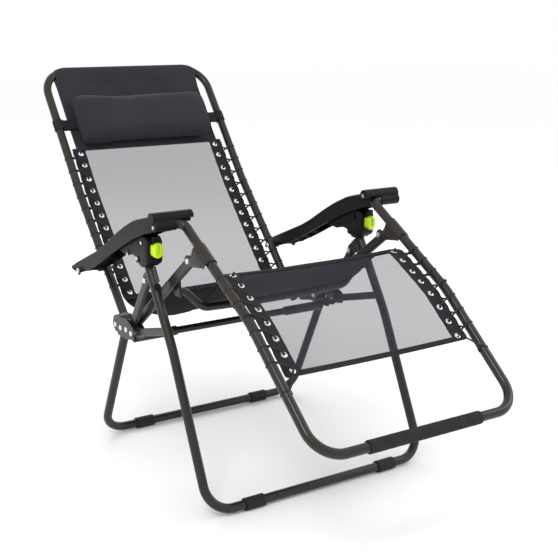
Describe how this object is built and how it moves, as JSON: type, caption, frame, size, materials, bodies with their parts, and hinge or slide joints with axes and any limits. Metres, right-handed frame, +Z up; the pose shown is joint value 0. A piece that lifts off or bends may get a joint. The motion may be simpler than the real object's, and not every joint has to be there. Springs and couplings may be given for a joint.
{
  "type": "zero gravity recliner",
  "caption": "Folding steel-tube lounge chair with a laced fabric sling, sliding armrests, a leg rest that swings up as the back reclines, and a head pillow.",
  "frame": {"origin": "on the floor under the middle of the chair's footprint", "axes": "+Z up, -Y the way a sitter faces, +X across the chair"},
  "size_m": [0.6908, 1.4036, 0.9386],
  "materials": {
    "frame_paint": "satin",
    "black_plastic": "satin",
    "plated_steel": "polished",
    "lime_plastic": "gloss",
    "black_rubber": "matte",
    "grey_mesh": "matte",
    "black_fabric": "matte",
    "black_cord": "matte"
  },
  "bodies": {
    "base": {"front_leg_frame": "frame_paint", "floor_sleeves_front": "black_rubber", "hub_bracket_left": "frame_paint", "hub_bracket_right": "frame_paint", "short_link_left": "frame_paint", "short_link_right": "frame_paint", "strut_left": "frame_paint", "strut_right": "frame_paint", "link_clevis_left": "frame_paint", "link_clevis_right": "frame_paint", "leg_cap_left": "black_plastic", "leg_cap_right": "black_plastic", "rear_crossbar": "frame_paint", "crossbar_bracket_left": "frame_paint", "crossbar_bracket_right": "frame_paint", "lock_housing_left": "black_plastic", "lock_housing_right": "black_plastic", "housing_screws": "plated_steel", "hub_bolts": "plated_steel", "back_pivot_bolts": "plated_steel", "back_pivot_spacers": "black_plastic", "link_bolts": "plated_steel"},
    "rear_leg": {"rear_leg_frame": "frame_paint", "floor_sleeves_rear": "black_rubber"},
    "back": {"back_frame": "frame_paint", "back_sling": "grey_mesh", "back_grommets": "plated_steel", "back_lacing_left": "black_cord", "back_lacing_right": "black_cord", "head_panel": "black_fabric", "arm_pivot_bolts": "plated_steel", "arm_pivot_bushes": "black_plastic"},
    "pillow": {"pillow": "black_fabric", "pillow_straps": "black_fabric"},
    "seat": {"seat_rail_left": "frame_paint", "seat_rail_right": "frame_paint", "seat_crossbar": "frame_paint", "seat_bar_tab_left": "frame_paint", "seat_bar_tab_right": "frame_paint", "seat_sling": "black_fabric"},
    "leg_rest": {"leg_rest_frame": "frame_paint", "gusset_left": "frame_paint", "gusset_right": "frame_paint", "foot_grip": "black_rubber", "leg_sling": "grey_mesh", "leg_grommets": "plated_steel", "leg_lacing_left": "black_cord", "leg_lacing_right": "black_cord", "rail_pivot_bolts": "plated_steel"},
    "arm_left": {"armrest_left": "black_plastic", "hand_grip_left": "black_plastic", "grip_screws_left": "plated_steel"},
    "arm_right": {"armrest_right": "black_plastic", "hand_grip_right": "black_plastic", "grip_screws_right": "plated_steel"},
    "knob_left": {"lock_knob_left": "lime_plastic"},
    "knob_right": {"lock_knob_right": "lime_plastic"}
  },
  "joints": [
    {"name": "back_recline", "type": "hinge", "parent": "base", "child": "back", "pos_m": [0, 0.178, 0.324], "axis": [1, 0, 0], "range_deg": [-22, 12]},
    {"name": "seat_tilt", "type": "hinge", "parent": "base", "child": "seat", "pos_m": [0, 0.088, 0.342], "axis": [1, 0, 0], "range_deg": [-4.8, 2.7]},
    {"name": "leg_rest_swing", "type": "hinge", "parent": "seat", "child": "leg_rest", "pos_m": [0, -0.205, 0.565], "axis": [1, 0, 0], "range_deg": [-29.2, 16]},
    {"name": "arm_swing_left", "type": "hinge", "parent": "leg_rest", "child": "arm_left", "pos_m": [-0.3, -0.157, 0.641], "axis": [1, 0, 0], "range_deg": [-16, 29.3]},
    {"name": "arm_swing_right", "type": "hinge", "parent": "leg_rest", "child": "arm_right", "pos_m": [0.3, -0.157, 0.641], "axis": [1, 0, 0], "range_deg": [-16, 29.3]},
    {"name": "rear_leg_fold", "type": "hinge", "parent": "base", "child": "rear_leg", "pos_m": [0, 0.088, 0.342], "axis": [1, 0, 0], "range_deg": [-70, 0]},
    {"name": "lock_knob_left_turn", "type": "hinge", "parent": "base", "child": "knob_left", "pos_m": [-0.306, -0.092, 0.572], "axis": [0, -1, 0], "range_deg": [0, 90]},
    {"name": "lock_knob_right_turn", "type": "hinge", "parent": "base", "child": "knob_right", "pos_m": [0.306, -0.092, 0.572], "axis": [0, -1, 0], "range_deg": [-90, 0]},
    {"name": "pillow_slide", "type": "slide", "parent": "back", "child": "pillow", "axis": [0, 0.6139, 0.7894], "range_m": [-0.06, 0.07]}
  ],
  "couplings": [
    {"joint": "seat_tilt", "follows": "back_recline", "ratio": 0.2164},
    {"joint": "leg_rest_swing", "follows": "back_recline", "ratio": 1.3223},
    {"joint": "arm_swing_left", "follows": "back_recline", "ratio": -1.3234},
    {"joint": "arm_swing_right", "follows": "back_recline", "ratio": -1.3234}
  ]
}
